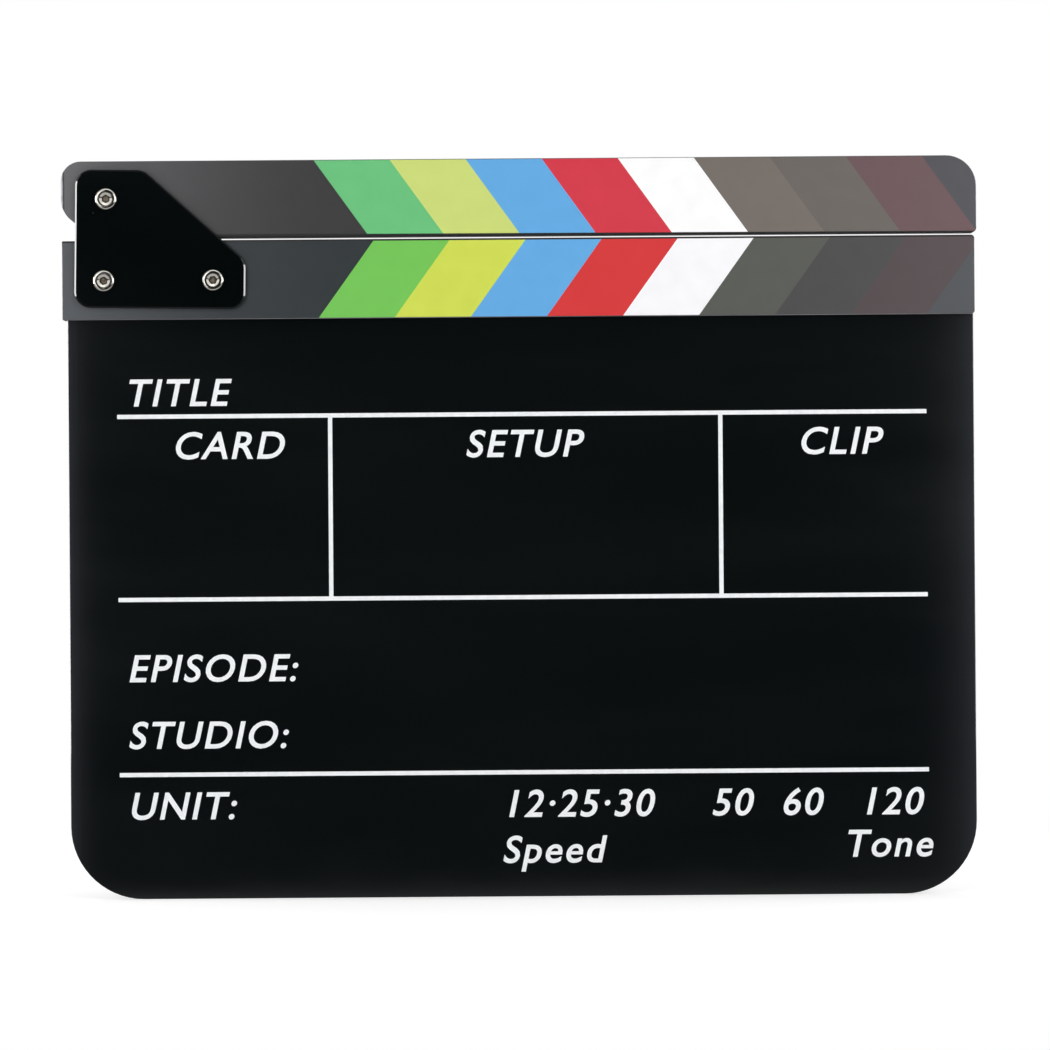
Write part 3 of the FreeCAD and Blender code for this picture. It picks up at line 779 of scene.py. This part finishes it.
def white_paper(name):
    """Paper that is lit like the board near it, and plain white to the camera further off."""
    material, tree, shader, place = new_material(name)
    fibres = add_node(tree, "TexNoise", {"Scale": per_metre(FIBRE_MM), "Detail": 3.0}, {"Vector": place})
    tone = add_node(tree, "MapRange", PAPER_TONE, {"Value": fibres.outputs["Fac"]})
    colour = add_node(tree, "HueSaturation", {"Color": linear(PAPER_SWATCH)},
                      {"Value": tone.outputs["Result"]})
    tree.links.new(colour.outputs["Color"], shader.inputs["Base Color"])
    shader.inputs["Roughness"].default_value = PAPER_ROUGHNESS
    shader.inputs["Emission Color"].default_value = WHITE
    path = add_node(tree, "LightPath")
    glow = add_node(tree, "Math", {1: FLOOR_GLOW}, {0: path.outputs["Is Camera Ray"]}, operation="MULTIPLY")
    tree.links.new(glow.outputs["Value"], shader.inputs["Emission Strength"])
    away = add_node(tree, "VectorMath", None, {0: place}, operation="LENGTH")
    far = add_node(tree, "MapRange", {"From Min": SHADOW_REACH, "From Max": WHITE_FROM},
                   {"Value": away.outputs["Value"]}, interpolation_type="SMOOTHSTEP")
    seen_far = add_node(tree, "Math", None, {0: far.outputs["Result"], 1: path.outputs["Is Camera Ray"]},
                        operation="MULTIPLY")
    plain_white = add_node(tree, "Emission", {"Color": WHITE, "Strength": 1.0})
    sweep = add_node(tree, "MixShader", None, {0: seen_far.outputs["Value"], 1: shader.outputs["BSDF"],
                                               2: plain_white.outputs["Emission"]})
    tree.links.new(sweep.outputs["Shader"], tree.nodes["Material Output"].inputs["Surface"])
    return material


def flat_sheet(name, material, reach, middle, tilt):
    """A flat sheet of the stage, level or turned upright. It reaches that far each way from its middle."""
    mesh = bpy.data.meshes.new(name)
    wide, deep = reach
    corners = [(-wide, -deep, 0), (wide, -deep, 0), (wide, deep, 0), (-wide, deep, 0)]
    mesh.from_pydata(corners, [], [range(len(corners))])
    mesh.materials.append(material)
    sheet = bpy.data.objects.new(name, mesh)
    sheet.location = middle
    sheet.rotation_euler = (tilt, 0, 0)
    bpy.context.scene.collection.objects.link(sheet)
    return sheet


paper = white_paper("white_paper")
floor = flat_sheet("paper_floor", paper, (FLOOR_REACH, FLOOR_REACH), (0, 0, cad_box[0].z), 0)
floor.visible_glossy = False
print("floor", floor.name, "reaches", FLOOR_REACH, "m each way")

# %% [markdown]
# The cards can only be mirrored. A black one stands behind the camera, or the glossy slate would reflect a
# white room straight back and turn grey. Long narrow dark ones hang right above the board and lie at its
# foot, where the hinge plate's level bevels look. The round screw heads look everywhere, and see the white
# room past these and a pale card on the ground, which gives them their bright rings. Under all of them
# lies a wide black card, or mirrors would see the white world below the floor. A card could be lit by the
# lamps, but its own glow keeps it at one brightness, whatever the lamps do.

# %% Stand the cards
LEVEL = 0
FELT_PILE_MM = 3.0
FELT_LOW_SHARE = 0.97
# Each card's name, its brightness, its reach each way from its middle, its middle and its tilt, in metres.
CARDS = (
    ("front_card", 0.0, (1.5, 1.5), (0, -1.75, 0.12), UPRIGHT),
    ("ceiling_card", 0.25, (1.2, 0.2), (0, 0, 1.3), LEVEL),
    ("foot_card", 0.25, (0.9, 0.04), (0, 0, -0.015), LEVEL),
    ("near_ground_card", 0.6, (0.9, 0.35), (0, 0, -0.02), LEVEL),
    ("ground_card", 0.0, (2.5, 2.5), (0, 0, -0.03), LEVEL),
)


def card_felt(name, brightness):
    """Felt with no shine, which glows evenly at the given brightness."""
    material, tree, shader, place = new_material(name)
    pile = add_node(tree, "TexNoise", {"Scale": per_metre(FELT_PILE_MM)}, {"Vector": place})
    tone = add_node(tree, "MapRange", {"To Min": FELT_LOW_SHARE * brightness, "To Max": brightness},
                    {"Value": pile.outputs["Fac"]})
    shader.inputs["Base Color"].default_value = BLACK
    shader.inputs["Specular IOR Level"].default_value = 0.0
    shader.inputs["Emission Color"].default_value = WHITE
    tree.links.new(tone.outputs["Result"], shader.inputs["Emission Strength"])
    return material


for name, brightness, reach, middle, tilt in CARDS:
    card = flat_sheet(name, card_felt("felt_" + name, brightness), reach, middle, tilt)
    card.visible_camera = False
    card.visible_diffuse = False
    card.visible_shadow = False
    print(name, "at", middle)

# %% [markdown]
# The photograph was taken square on from about two metres, with a long lens, and the camera leaned by less
# than half a degree. The lens follows from the distance and from how much of the board's plane fills the
# frame.

# %% Place the camera
FRAME_PIXELS = 1050
MM_PER_PIXEL = 0.3287
CAMERA_DISTANCE = 2000.0 * MM
CAMERA_X = 1.04 * MM
CAMERA_Z = 122.3 * MM
CAMERA_LEAN = math.radians(0.42)
# A sensor's width is in millimetres in Blender, and the clip distances are in metres.
SENSOR_WIDTH = 36.0
NEAR_CLIP = 0.05
FAR_CLIP = 60.0

camera_data = bpy.data.cameras.new("camera")
camera_data.sensor_width = SENSOR_WIDTH
camera_data.lens = SENSOR_WIDTH * CAMERA_DISTANCE / (FRAME_PIXELS * MM_PER_PIXEL * MM)
camera_data.clip_start = NEAR_CLIP
camera_data.clip_end = FAR_CLIP
camera = bpy.data.objects.new("camera", camera_data)
stick_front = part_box("lower_stick_print")[0].y
camera.location = (CAMERA_X, stick_front - CAMERA_DISTANCE, CAMERA_Z)
square_on = Matrix.Rotation(UPRIGHT, 3, "X")
camera.rotation_euler = (square_on @ Matrix.Rotation(-CAMERA_LEAN, 3, "Z")).to_euler()
bpy.context.scene.collection.objects.link(camera)
bpy.context.scene.camera = camera
bpy.context.scene.view_settings.view_transform = "Standard"
print("lens", round(camera_data.lens, 1), "mm")
